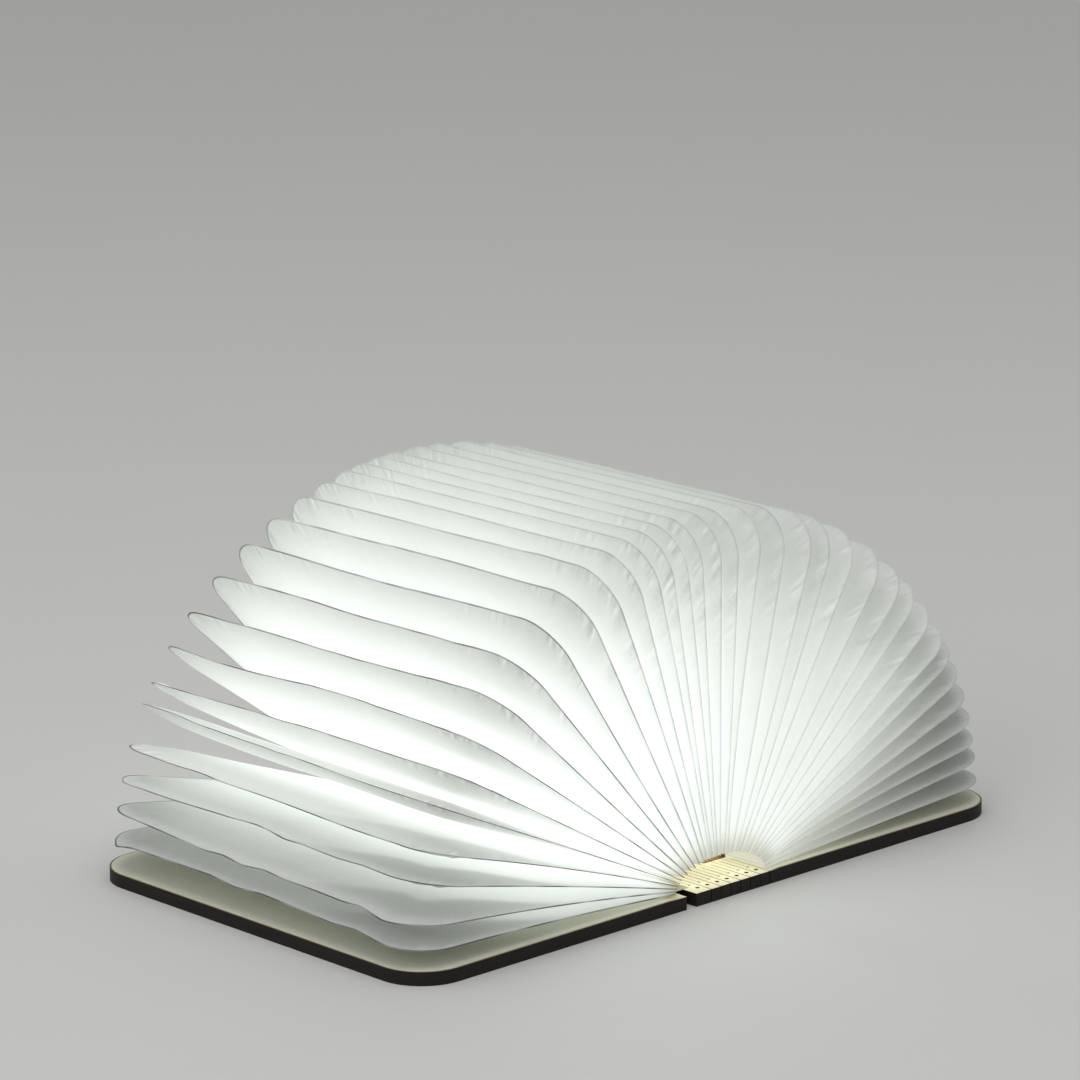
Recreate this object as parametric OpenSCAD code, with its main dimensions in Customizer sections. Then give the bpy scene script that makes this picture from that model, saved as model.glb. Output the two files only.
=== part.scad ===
// Folding book lamp, opened flat: two wooden covers, a lattice-cut spine that carries
// the light, and a fan of paper leaves that stands up between the covers.
// X runs across the open book, Y along the spine and Z up. The origin lies on the
// table, under the middle of the fan.

/* [Covers] */
// Distance from the fan's middle to the fore-edge of each cover
half_span = 178; // [172:1:190]
// Height of the book, along the spine
book_h = 215; // [205:5:235]
// Thickness of the laser-cut board
board_t = 6; // [5:0.5:7]
// Radius of the covers' fore-edge corners
corner_r = 22; // [14:1:30]
// Gap between the left cover and the free edge of the spine
hinge_gap = 6; // [5:0.5:8]
// Thickness of the end sheet glued to each cover
end_sheet_t = 0.25; // [0.2:0.05:0.3]
// Border of bare board left around the end sheet
end_sheet_inset = 1; // [1:0.5:4]
// Bare board between the right end sheet and the spine
end_sheet_gap = 1.5; // [1:0.5:4]

/* [Spine] */
// Width of the spine between the two covers
spine_w = 45; // [42:1:48]
// Width of the middle strip, which stays flat under the light
core_w = 18; // [16:1:20]
// Clear width between the covers' inner faces when the book is shut
shut_w = 23; // [23:0.5:26]
// Distance between neighbouring lattice lines
lattice_step = 3; // [2.5:0.5:4]
// Width of the laser kerf
kerf_w = 0.4; // [0.3:0.05:0.5]
// Uncut length left between two slits of one lattice line
bridge = 6; // [4:1:9]
// Number of slits along each open lattice line
slits = 5; // [4:1:6]
// Distance of the outer and inner pierced holes from the end of the spine
pierce_y = [5.5, 10.5]; // [3:0.5:12]
// Diameter of the outer and inner pierced holes
pierce_d = [1.5, 1]; // [0.6:0.1:1.8]
// Width that the hinge tape covers on the left cover and on the spine
tape_reach = [9, 3]; // [2:0.5:10]
// Distance from the end of the hinge tape to the end of the book
tape_inset = 8; // [4:1:14]

/* [Paper] */
// Number of leaves
leaf_count = 36; // [30:1:36]
// Thickness of a leaf pressed flat, two sheets together
leaf_t = 0.36; // [0.3:0.02:0.4]
// Radius of a leaf's outer corners
leaf_r = 20; // [12:1:28]
// Distance from a leaf's end to the end of the book
leaf_inset = 3; // [2:0.5:6]
// Distance from a lying leaf's fore-edge to the fore-edge of the cover
tip_inset = 1.5; // [1:0.5:4]
// Angle left between the first leaf and the left cover
first_lean = 4.8; // [4:0.2:6]
// Angle left between the last leaf and the right cover, before the gathering
last_lean = 3.6; // [3.4:0.2:5]
// Leaf at the middle of each place where the leaves are gathered
gather_leaf = [12.3, 28.5]; // [10:0.1:30]
// Number of leaves over which each gathering fades
gather_fade = [4.2, 5.5]; // [3:0.1:7]
// Degrees by which each gathering pushes its leaves to the right
gather_push = [9.3, 6.3]; // [0:0.1:10]
// Rise of the arch on which the leaves' feet stand
foot_rise = 13.5; // [12.5:0.5:14.5]
// Thickness of the folded paper that joins the feet
root_t = 0.3; // [0.2:0.05:0.4]
// Gap between a leaf's foot and the folded paper under it
root_gap = 0.3; // [0.2:0.05:0.4]
// Depth of the fold between two feet
fold_h = 0.9; // [0.6:0.1:1]

/* [Light] */
// Width of the wooden strip under the light
carrier_w = 13; // [12:0.5:14]
// Thickness of that strip
carrier_t = 1.8; // [1.6:0.2:2.2]
// Distance from the end of the spine to the end of that strip
carrier_inset = 7; // [5:1:12]
// Gap between the light-emitting chips and the folded paper over them
light_gap = 0.3; // [0.2:0.1:0.8]
// Thickness of each rail
rail_t = 1.3; // [1:0.1:1.6]
// Length by which the rails and the circuit stop short of the strip's ends
strip_margin = [24, 2]; // [1:0.5:30]
// Number of light-emitting chips
led_count = 18; // [10:1:24]
// Chip length along the strip, width and height
led_size = [3.5, 2.8, 0.7]; // [0.6:0.1:4]
// Width and thickness of the flexible circuit under the chips
tape = [8, 0.3]; // [0.2:0.1:9]
// Battery cell: width, length and thickness
cell = [10, 105, 5.8]; // [5:0.2:120]
// Corner radius of the battery cell
cell_r = 2.4; // [1:0.2:2.8]
// Charging board: width, length and thickness
pcb = [9.6, 26, 1]; // [0.8:0.1:30]
// Charging socket: width, depth and height
socket = [7.6, 5.4, 2.7]; // [2.5:0.1:8]
// Wall thickness of the socket's shell
socket_wall = 0.4; // [0.3:0.05:0.5]
// Height of the charging board above the spine
pcb_lift = 1.2; // [1:0.1:1.6]
// Diameter of the wires
wire_d = 0.9; // [0.7:0.1:1.1]
// Distance of each battery lead from the middle
lead_x = 1.6; // [1.2:0.1:2.5]
// Length and height of the magnet sensor
sensor = [3, 1.4]; // [1:0.1:4]
// Distance of the sensor and its magnet from the middle of the spine
sensor_y = 20; // [10:1:60]

/* [Magnets] */
// Diameter and thickness of a cover magnet
magnet = [8, 3]; // [2:0.5:10]
// Distance of a cover magnet from the cover's edges
magnet_inset = 16; // [12:1:24]
// Diameter and thickness of the sensor's magnet
small_magnet = [4, 1.5]; // [1:0.5:5]
// Clearance round a magnet and between fixed pieces
fit = 0.1; // [0.05:0.05:0.2]

/* [Hidden] */
$fn = 64;
wire_sides = 24;
past = 1; // how far a cut runs past the face that it leaves
function two_digits(k) = k < 10 ? str("0", k) : str(k);
function leaf_name(k) = str("leaf_", two_digits(k));

// Colours, as the photograph shows them
board_colour = [0.20, 0.13, 0.09];
lattice_colour = [0.90, 0.84, 0.70];
paper_colour = [0.96, 0.97, 0.95];
scorched = [0.66, 0.45, 0.22];
copper_side = [0.10, 0.35, 0.20];

// The free edge of the spine and its border with the right cover
half_core = core_w / 2;
spine_left = -2 * half_core;
spine_right = spine_left + spine_w;
left_near = spine_left - hinge_gap;

// The board bends by a quarter turn beside the core when a cover shuts
bend_r = shut_w / 2 + board_t / 2 - half_core;
bend_arc = bend_r * PI / 2;
strip_w = lattice_step * ceil(bend_arc / lattice_step);
right_near = half_core + strip_w;

// The feet stand on an arch that ends where the right end sheet starts, and a leaf
// reaches from there almost to the fore-edge of the cover
foot_reach = spine_right + end_sheet_gap;
leaf_len = half_span - foot_reach - tip_inset;

// Lattice lines: even ones are open at the ends of the spine, odd ones start at a hole
slit_pitch = book_h / (slits - 1);
first_line = spine_left + 2 * lattice_step;
line_count = floor((spine_right - first_line) / lattice_step + 0.001);
function line_x(i) = first_line + i * lattice_step;

// Heights of the layers: the light hangs close under the folded root of the leaves
board_top = board_t;
foot_top = board_top + foot_rise;
tape_top = foot_top - fold_h - root_t - light_gap - led_size[2];
carrier_top = tape_top - tape[1];
rail_top = carrier_top - carrier_t;
carrier_len = book_h - 2 * carrier_inset;
light_len = carrier_len - 2 * strip_margin[1];
rail_x = carrier_w / 2 - rail_t / 2;

// The charging board lies at the far end, between the rails, with its socket last
socket_y = carrier_len / 2 - socket[1];
pcb_y = carrier_len / 2 - 1 - pcb[1];
pcb_z = board_top + pcb_lift;
pcb_top = pcb_z + pcb[2];
cell_y = -carrier_len / 2 + strip_margin[0];
cell_end = cell_y + cell[1];
// Chips on the charging board: place across and along it, then width, length and height
chips = [[-3, 4, 4, 4, 1.2], [-3.5, 11, 3, 3, 1.8], [1, 12, 2.5, 2.5, 0.9]];

// The leaves stand closer together at two places in the fan
function gather(k, n) = gather_push[n] * exp(-pow((k - gather_leaf[n]) / gather_fade[n], 2));
function evenly(k) = first_lean + (180 - last_lean - first_lean) * (k - 1) / (leaf_count - 1);
function fan_angle(k) = evenly(k) + gather(k, 0) + gather(k, 1);
// The leaf nearest the middle is fixed upright
upright = round(leaf_count / 2);
function lean(k) = k == upright ? 0 : fan_angle(k) - 90;
shut_pitch = (shut_w - 2 * end_sheet_t) / leaf_count;
upright_x = shut_pitch * (upright - (leaf_count + 1) / 2);
function foot(k) =
    k == upright ? [upright_x, foot_top]
    : [foot_reach * sin(lean(k)), board_top + foot_rise * cos(lean(k))];

module rounded_end(w, l, r) {
    // Rectangle from x = 0 to x = l, with its two far corners rounded
    translate([0, -w / 2]) square([l - r, w]);
    translate([0, -w / 2 + r]) square([l, w - 2 * r]);
    for (side = [-1, 1]) translate([l - r, side * (w / 2 - r)]) circle(r);
}

module slit(x, y0, y1) {
    translate([x - kerf_w / 2, y0, -past]) cube([kerf_w, y1 - y0, board_t + 2 * past]);
}

module lattice_line(i) {
    // One line of the lattice, over the whole height of the book
    x = line_x(i);
    open_line = i % 2 == 1;
    end_y = book_h / 2;
    closed_start = end_y - pierce_y[1];
    for (j = [0:slits - (open_line ? 1 : 2)]) {
        middle = -end_y + slit_pitch * (j + (open_line ? 0 : 0.5));
        reach = (slit_pitch - bridge) / 2;
        low = open_line ? middle - reach : max(middle - reach, -closed_start);
        high = open_line ? middle + reach : min(middle + reach, closed_start);
        slit(x, low, high);
    }
    if (!open_line)
        for (side = [-1, 1], n = [0, 1])
            translate([x, side * (end_y - pierce_y[n]), -past])
                cylinder(d = pierce_d[n], h = board_t + 2 * past, $fn = wire_sides);
}

module lattice_board(x0, x1) {
    // A strip of board from x0 to x1 with every lattice line that crosses it
    difference() {
        translate([x0, -book_h / 2, 0]) cube([x1 - x0, book_h, board_t]);
        for (i = [0:line_count])
            if (line_x(i) > x0 - kerf_w && line_x(i) < x1 + kerf_w) lattice_line(i);
    }
}

module magnet_places() {
    for (side = [-1, 1])
        translate([half_span - magnet_inset, side * (book_h / 2 - magnet_inset), 0]) children();
}

module cover_plate(near) {
    // The board of a cover on the right-hand side, from near to the fore-edge
    translate([near, 0, 0]) linear_extrude(board_t) rounded_end(book_h, half_span - near, corner_r);
}

module magnet_pockets() {
    magnet_places()
        translate([0, 0, board_t - magnet[1] - fit])
            cylinder(d = magnet[0] + 2 * fit, h = magnet[1] + past);
}

module left_cover() {
    color(board_colour) difference() {
        mirror([1, 0, 0]) difference() {
            cover_plate(-left_near);
            magnet_pockets();
        }
        sensor_pocket();
    }
}

module right_cover() {
    color(board_colour) difference() {
        cover_plate(right_near);
        magnet_pockets();
        for (i = [0:line_count])
            if (line_x(i) > right_near - kerf_w) lattice_line(i);
    }
}

module spine_core() {
    color(lattice_colour) lattice_board(-half_core, half_core);
}

module spine_left_strip() {
    color(lattice_colour) lattice_board(spine_left, -half_core);
}

module spine_right_strip() {
    color(lattice_colour) lattice_board(half_core, right_near);
}

// Paper

module hinge_tape() {
    // Woven paper strip that joins the left cover to the spine across the gap
    color(paper_colour)
        translate([left_near - tape_reach[0], -book_h / 2 + tape_inset, board_top])
            cube([tape_reach[0] + hinge_gap + tape_reach[1], book_h - 2 * tape_inset, end_sheet_t]);
}

module end_sheet(near) {
    translate([near, 0, board_top])
        linear_extrude(end_sheet_t)
            rounded_end(book_h - 2 * end_sheet_inset, half_span - end_sheet_inset - near,
                        corner_r - end_sheet_inset);
}

module left_end_sheet() {
    color(paper_colour) mirror([1, 0, 0]) end_sheet(-left_near + tape_reach[0] + fit);
}

module right_end_sheet() {
    color(paper_colour) end_sheet(foot_reach);
}

module leaf(k) {
    color(paper_colour)
        translate([foot(k)[0], 0, foot(k)[1]])
            rotate([0, lean(k), 0])
                translate([-leaf_t / 2, 0, 0])
                    rotate([0, -90, 0]) mirror([0, 0, 1])
                        linear_extrude(leaf_t)
                            rounded_end(book_h - 2 * leaf_inset, leaf_len, leaf_r);
}

// The folded root runs under the feet, with a valley between two feet
function along(a) = [sin(a), cos(a)];
function root_line(offset) =
    [for (k = [1:leaf_count])
        each (k < leaf_count
            ? [foot(k) - (root_gap + offset) * along(lean(k)),
               (foot(k) + foot(k + 1)) / 2
                   - (fold_h + offset) * along((lean(k) + lean(k + 1)) / 2)]
            : [foot(k) - (root_gap + offset) * along(lean(k))])];

module pleat_root() {
    outer = root_line(0);
    inner = root_line(root_t);
    backwards = [for (i = [len(inner) - 1:-1:0]) inner[i]];
    color(paper_colour)
        rotate([90, 0, 0])
            translate([0, 0, -(book_h / 2 - leaf_inset - 1)]) // ends 1 mm inside the leaves
                linear_extrude(book_h - 2 * leaf_inset - 2)
                    polygon(concat(outer, backwards));
}

// Light

module led_carrier() {
    color(scorched)
        translate([-carrier_w / 2, -carrier_len / 2, rail_top])
            cube([carrier_w, carrier_len, carrier_t]);
}

module carrier_rails() {
    color(scorched)
        for (side = [-1, 1])
            translate([side * rail_x - rail_t / 2, -carrier_len / 2 + strip_margin[0], board_top])
                cube([rail_t, carrier_len - 2 * strip_margin[0], rail_top - board_top]);
}

module led_tape() {
    color("white")
        translate([-tape[0] / 2, -light_len / 2, carrier_top]) cube([tape[0], light_len, tape[1]]);
}

module led_chips() {
    pitch = light_len / led_count;
    color("gold")
        for (i = [0:led_count - 1])
            translate([-led_size[1] / 2, pitch * (i + 0.5) - light_len / 2 - led_size[0] / 2, tape_top])
                cube([led_size[1], led_size[0], led_size[2]]);
}

module battery_cell() {
    color("silver")
        translate([0, cell_y, board_top + cell[2] / 2])
            rotate([-90, 0, 0])
                linear_extrude(cell[1]) {
                    square([cell[0], cell[2] - 2 * cell_r], center = true);
                    square([cell[0] - 2 * cell_r, cell[2]], center = true);
                    for (x = [-1, 1], y = [-1, 1])
                        translate([x * (cell[0] / 2 - cell_r), y * (cell[2] / 2 - cell_r)]) circle(cell_r);
                }
}

module charging_board() {
    // Circuit board on two spacers, with its larger chips
    spacer_l = 2;
    color(copper_side) {
        translate([-pcb[0] / 2, pcb_y, pcb_z]) cube(pcb);
        for (y = [1, pcb[1] - 1 - spacer_l])
            translate([1 - pcb[0] / 2, pcb_y + y, board_top]) cube([pcb[0] - 2, spacer_l, pcb_lift]);
        for (chip = chips)
            translate([chip[0], pcb_y + chip[1], pcb_top]) cube([chip[2], chip[3], chip[4]]);
    }
}

module charging_socket() {
    // Open shell with its contact tongue, facing the far end of the spine
    back = 1;
    tongue = [socket[0] * 0.58, socket[1] - back - 0.6, 0.6];
    color("silver")
        translate([0, socket_y, pcb_top]) {
            difference() {
                translate([-socket[0] / 2, 0, 0]) cube(socket);
                translate([socket_wall - socket[0] / 2, back, socket_wall])
                    cube([socket[0] - 2 * socket_wall, socket[1], socket[2] - 2 * socket_wall]);
            }
            translate([-tongue[0] / 2, back - fit, (socket[2] - tongue[2]) / 2]) cube(tongue);
        }
}

module magnet_sensor() {
    // Sensor that feels the magnet in the left cover, and lights the lamp as it leaves
    color("black")
        translate([-half_core + 2 * fit, sensor_y - sensor[0] / 2, board_top])
            cube([half_core - carrier_w / 2 - 4 * fit, sensor[0], sensor[1]]);
}

module sensor_place() {
    translate([left_near - small_magnet[0], sensor_y, board_t - small_magnet[1] - fit]) children();
}

module sensor_pocket() {
    sensor_place() cylinder(d = small_magnet[0] + 2 * fit, h = small_magnet[1] + past);
}

module sensor_magnet() {
    color("silver") sensor_place() cylinder(d = small_magnet[0], h = small_magnet[1]);
}

module magnet_pair() {
    magnet_places() translate([0, 0, board_t - magnet[1] - fit]) cylinder(d = magnet[0], h = magnet[1]);
}

module left_magnets() {
    color("silver") mirror([1, 0, 0]) magnet_pair();
}

module right_magnets() {
    color("silver") magnet_pair();
}

module battery_leads() {
    // Red and black leads from the cell to the charging board
    for (side = [-1, 1])
        color(side < 0 ? "black" : "red")
            translate([side * lead_x, cell_end, pcb_top + wire_d / 2])
                rotate([-90, 0, 0]) cylinder(d = wire_d, h = pcb_y + 2 - cell_end, $fn = wire_sides);
}

module led_leads() {
    // Leads that rise from the charging board past the strip to the light
    for (side = [0, 1])
        color("red")
            translate([carrier_w / 2 + wire_d / 2 + fit, pcb_y + 4 + 2 * side, pcb_z])
                cylinder(d = wire_d, h = tape_top - pcb_z, $fn = wire_sides);
}

for (k = [1:leaf_count]) leaf(k);
left_cover();
right_cover();
spine_core();
spine_left_strip();
spine_right_strip();
hinge_tape();
left_end_sheet();
right_end_sheet();
pleat_root();
led_carrier();
carrier_rails();
led_tape();
led_chips();
battery_cell();
charging_board();
charging_socket();
magnet_sensor();
battery_leads();
led_leads();
sensor_magnet();
left_magnets();
right_magnets();
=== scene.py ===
"""Folding book lamp, opened flat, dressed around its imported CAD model.

X runs across the open book, Y along the spine away from the camera, Z up, in metres.
The sections follow the lamp as it is put together.
"""
import functools
import math

import bpy
import numpy as np
from mathutils import Matrix, Vector


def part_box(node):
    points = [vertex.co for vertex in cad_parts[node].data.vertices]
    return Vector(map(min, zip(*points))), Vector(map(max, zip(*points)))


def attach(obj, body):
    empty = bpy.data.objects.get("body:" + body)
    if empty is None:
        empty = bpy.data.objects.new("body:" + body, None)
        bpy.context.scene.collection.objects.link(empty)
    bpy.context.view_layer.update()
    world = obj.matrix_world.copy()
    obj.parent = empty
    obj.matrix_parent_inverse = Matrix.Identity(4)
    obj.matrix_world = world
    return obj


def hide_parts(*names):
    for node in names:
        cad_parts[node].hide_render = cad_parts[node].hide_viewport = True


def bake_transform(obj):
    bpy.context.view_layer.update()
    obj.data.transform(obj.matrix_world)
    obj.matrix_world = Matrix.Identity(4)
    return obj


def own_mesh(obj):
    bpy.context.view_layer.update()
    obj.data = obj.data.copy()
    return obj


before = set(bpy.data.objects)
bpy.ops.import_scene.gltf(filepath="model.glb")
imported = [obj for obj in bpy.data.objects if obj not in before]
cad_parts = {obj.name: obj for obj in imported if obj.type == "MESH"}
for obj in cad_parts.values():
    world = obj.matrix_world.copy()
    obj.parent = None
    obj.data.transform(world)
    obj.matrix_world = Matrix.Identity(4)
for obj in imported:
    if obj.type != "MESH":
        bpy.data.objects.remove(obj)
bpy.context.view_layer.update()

MM = 0.001

# Camera: a long lens, low in front of the book and to its left, as the photograph has it.
# Place and directions come from the book's own corners in the photograph.

lens_right = Vector((0.72638, -0.68727, -0.00615))
lens_up = Vector((0.17331, 0.17450, 0.96928))
lens_back = Vector((-0.66508, -0.70513, 0.24586))
camera_data = bpy.data.cameras.new("camera")
camera_data.sensor_width = 36
camera_data.lens = 170.219
camera_data.clip_start = 0.05
camera_data.clip_end = 60
camera = bpy.data.objects.new("camera", camera_data)
bpy.context.scene.collection.objects.link(camera)
camera.matrix_world = (
    Matrix.Translation((-1.49382, -1.57590, 0.69033))
    @ Matrix((lens_right, lens_up, lens_back)).transposed().to_4x4()
)
bpy.context.scene.camera = camera


# Boards: the covers and the spine are one kind of laser-cut plywood. Inside it is pale,
# outside it has a dark walnut face, and the laser leaves every cut edge scorched.

def srgb(red, green, blue):
    """A colour as it shows on a screen, from 0 to 1, as the shader's linear RGBA."""
    return [c / 12.92 if c <= 0.04045 else ((c + 0.055) / 1.055) ** 2.4
            for c in (red, green, blue)] + [1]


class Wire:
    """An output of a shader node. Arithmetic on it adds Math nodes."""

    def __init__(self, finish, socket):
        self.finish, self.socket = finish, socket

    def math(self, operation, *values):
        sockets = dict(enumerate(values))
        return self.finish.add("Math", {"operation": operation}, sockets)

    def __add__(self, other):
        return self.math("ADD", self, other)

    __radd__ = __add__

    def __sub__(self, other):
        return self.math("SUBTRACT", self, other)

    def __rsub__(self, other):
        return self.math("SUBTRACT", other, self)

    def __mul__(self, other):
        return self.math("MULTIPLY", self, other)

    __rmul__ = __mul__

    def __truediv__(self, other):
        return self.math("DIVIDE", self, other)

    def __pow__(self, other):
        return self.math("POWER", self, other)

    def __abs__(self):
        return self.math("ABSOLUTE", self)

    def __mod__(self, other):
        return self.math("FLOORED_MODULO", self, other)

    def at_least(self, other):
        return self.math("MAXIMUM", self, other)


class Finish:
    """A material under construction, with one Principled shader.

    Patterns follow the object's coordinates, or on a piece that bends the places that its
    points have at rest, kept in the attribute that source names.
    """

    def __init__(self, name, source=None, **fixed):
        self.source = source
        self.material = bpy.data.materials.new(name)
        self.material.use_nodes = True
        self.tree = self.material.node_tree
        self.tree.nodes.clear()
        self.shader = self.tree.nodes.new("ShaderNodeBsdfPrincipled")
        output = self.tree.nodes.new("ShaderNodeOutputMaterial")
        self.tree.links.new(self.shader.outputs["BSDF"], output.inputs["Surface"])
        for key, value in fixed.items():
            self.shader.inputs[key.replace("_", " ")].default_value = value

    def add(self, kind, settings=None, sockets=None, out=0):
        """Adds a shader node, sets it, feeds its sockets, and returns one output."""
        node = self.tree.nodes.new("ShaderNode" + kind)
        for key, value in (settings or {}).items():
            setattr(node, key, value)
        for key, value in (sockets or {}).items():
            self.feed(node.inputs[key], value)
        return Wire(self, node.outputs[out])

    def feed(self, socket, value):
        if isinstance(value, Wire):
            self.tree.links.new(value.socket, socket)
        else:
            socket.default_value = value

    def set(self, **sockets):
        for key, value in sockets.items():
            self.feed(self.shader.inputs[key.replace("_", " ")], value)
        return self

    def attribute(self, name, out="Fac"):
        """A value that the mesh keeps at each of its points."""
        return self.add("Attribute", {"attribute_name": name}, out=out)

    def place(self):
        """Place on the piece as x, y and z, in metres."""
        if not hasattr(self, "coordinates"):
            if self.source:
                self.coordinates = self.attribute(self.source, "Vector")
            else:
                self.coordinates = self.add("TexCoord", out="Object")
            split = self.add("SeparateXYZ", None, {0: self.coordinates}).socket.node
            self.axes = [Wire(self, split.outputs[i]) for i in range(3)]
        return self.axes

    def stretched(self, x, y, z):
        """Object coordinates multiplied along each axis, for streaky patterns."""
        self.place()
        return self.add("VectorMath", {"operation": "MULTIPLY"},
                        {0: self.coordinates, 1: (x, y, z)})

    def noise(self, scale, vector=None, detail=3, rough=0.5):
        self.place()
        return self.add("TexNoise", None, {
            "Vector": vector or self.coordinates, "Scale": scale,
            "Detail": detail, "Roughness": rough})

    def ramp(self, value, low, high, to_low=0, to_high=1):
        """A smooth step of value from low to high."""
        return self.add("MapRange", {"interpolation_type": "SMOOTHSTEP"}, {
            "Value": value, "From Min": low, "From Max": high,
            "To Min": to_low, "To Max": to_high})

    def mix(self, factor, first, second):
        return self.add("Mix", {"data_type": "RGBA"}, {0: factor, 6: first, 7: second}, out=2)

    def bump(self, height, distance, strength=1.0):
        return self.set(Normal=self.add("Bump", None, {
            "Height": height, "Distance": distance, "Strength": strength}))


def paint(piece, finish):
    """Gives a piece one material all over."""
    slots = piece.material_slots
    if not slots:
        piece.data.materials.append(finish.material)
    for slot in slots:
        slot.material = finish.material


BLACK = (0, 0, 0, 1)
BOARD_T = 6 * MM
PLY = 1.2 * MM
# Places of the covers' inner corner points, from which the round corners are struck
CORNER_X, CORNER_Y = 156 * MM, 85.5 * MM
# Middle and half the width of the lattice, and of its lines of pierced holes
LATTICE_X, LATTICE_HALF_W = 4.5 * MM, 22.5 * MM
PIERCED_X, PIERCED_HALF_W = 6 * MM, 21 * MM
HOLE_PITCH = 6 * MM
# Place of each row of pierced holes from the middle, and the radius of its soot rings
HOLE_ROWS = ((102 * MM, 1.15 * MM), (97 * MM, 0.75 * MM))


def board_finish(name, source=None):
    board = Finish(name, source, Specular_IOR_Level=0.35)
    x, y, z = board.place()
    inner = board.ramp(z, BOARD_T - 0.10 * MM, BOARD_T - 0.03 * MM)
    outer = board.ramp(z, 0.08 * MM, 0.02 * MM)
    # Pale inside face: long fine streaks of grain with a few darker pores
    grain = board.noise(40, board.stretched(16, 1, 16), detail=5, rough=0.6)
    pores = board.noise(220, board.stretched(6, 0.5, 6), detail=2)
    pale = board.mix(board.ramp(grain, 0.35, 0.7), srgb(0.93, 0.91, 0.79), srgb(0.89, 0.85, 0.70))
    pale = board.mix(board.ramp(pores, 0.62, 0.75) * 0.35, pale, srgb(0.74, 0.62, 0.42))
    # Walnut outside face
    waves = board.noise(9, board.stretched(5, 0.7, 1), detail=4)
    rings = board.add("TexWave", {"wave_type": "BANDS", "bands_direction": "X"}, {
        "Vector": board.stretched(1, 0.05, 1), "Scale": 42, "Distortion": 5.5,
        "Detail": 3, "Detail Scale": 1.2}, out="Fac")
    walnut = board.mix(rings * 0.6 + waves * 0.4, srgb(0.25, 0.15, 0.10), srgb(0.40, 0.26, 0.17))
    walnut = board.mix(board.ramp(pores, 0.58, 0.7) * 0.5, walnut, srgb(0.16, 0.09, 0.06))
    # Scorched edge, with faint plies and reddish tints; the kerfs inside stay tan
    plies = board.ramp(abs((z / PLY) % 1 - 0.5), 0.30, 0.42)
    soot = board.noise(55, board.stretched(1, 1, 0.35), detail=4)
    scorched = board.mix(soot, srgb(0.025, 0.022, 0.018), srgb(0.075, 0.045, 0.035))
    scorched = board.mix(plies * 0.3, scorched, srgb(0.10, 0.065, 0.045))
    tan = board.mix(soot, srgb(0.62, 0.47, 0.28), srgb(0.45, 0.31, 0.17))
    at_end = board.ramp(abs(y), 90 * MM, 96 * MM)
    beside = board.ramp(abs(x - LATTICE_X), LATTICE_HALF_W - 0.3 * MM, LATTICE_HALF_W - 0.1 * MM)
    cut = board.mix(at_end.at_least(beside), tan, scorched)
    # A burnt line runs along the covers' outline, on their inside face
    past_x = (abs(x) - CORNER_X).at_least(0.0)
    past_y = (abs(y) - CORNER_Y).at_least(0.0)
    rim = (past_x * past_x + past_y * past_y) ** 0.5
    burnt = board.ramp(rim, 20.6 * MM, 21.7 * MM) * board.ramp(abs(x), 24 * MM, 34 * MM)
    pale = board.mix(burnt, pale, srgb(0.33, 0.25, 0.16))
    # Painted glow: the light above the spine brightens the inside face next to it, painted in as
    # emission
    near_light = (inner * board.ramp(abs(x - 2 * MM), 34 * MM, 12 * MM)
                  * board.ramp(abs(y), 112 * MM, 98 * MM))
    lit = board.mix(near_light * (1 - burnt), BLACK, (0.50, 0.52, 0.37, 1))
    # Soot rings round the two rows of pierced holes at each end of the lattice
    pierced = board.ramp(abs(x - PIERCED_X), PIERCED_HALF_W, PIERCED_HALF_W - 1 * MM)
    hole_x = (x + HOLE_PITCH / 2) % HOLE_PITCH - HOLE_PITCH / 2
    for row, radius in HOLE_ROWS:
        hole_y = abs(y) - row
        from_hole = (hole_x * hole_x + hole_y * hole_y) ** 0.5
        soot_ring = board.ramp(from_hole, radius, radius - 0.3 * MM) * pierced
        pale = board.mix(soot_ring * 0.85, pale, srgb(0.20, 0.14, 0.08))
        lit = board.mix(soot_ring, lit, BLACK)
    # The kerfs between the holes are open at the ends, with a little soot on both sides
    from_kerf = abs(x % HOLE_PITCH - HOLE_PITCH / 2)
    soot_line = (board.ramp(from_kerf, 0.6 * MM, 0.25 * MM)
                 * board.ramp(abs(y), 82 * MM, 83 * MM) * pierced)
    pale = board.mix(soot_line * 0.28, pale, srgb(0.33, 0.25, 0.16))
    lit = board.mix(soot_line * 0.32, lit, BLACK)
    colour = board.mix(inner, cut, pale)
    colour = board.mix(outer, colour, walnut)
    board.set(Base_Color=colour,
              Roughness=board.ramp(grain, 0.3, 0.8, 0.58, 0.74) - outer * 0.22,
              Emission_Color=lit, Emission_Strength=1.0)
    return board.bump(grain * 0.6 + pores * 0.4, 0.12 * MM, 0.5)


plywood = board_finish("laser_cut_plywood")
for name in ("left_cover", "right_cover", "spine_core"):
    paint(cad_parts[name], plywood)


# Living hinge: on each side of the stiff core the lattice lets the spine bend by a quarter
# turn. Each strip keeps its cut-out shape and gets extra cross-lines, so that it can bend.

# Places across the book where the bend starts and where it ends, when a cover shuts
HALF_CORE = 9 * MM
BEND_END = 17.64 * MM
BEND_STEPS = 12


def select_only(piece):
    bpy.ops.object.select_all(action="DESELECT")
    piece.select_set(True)
    bpy.context.view_layer.objects.active = piece


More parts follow.
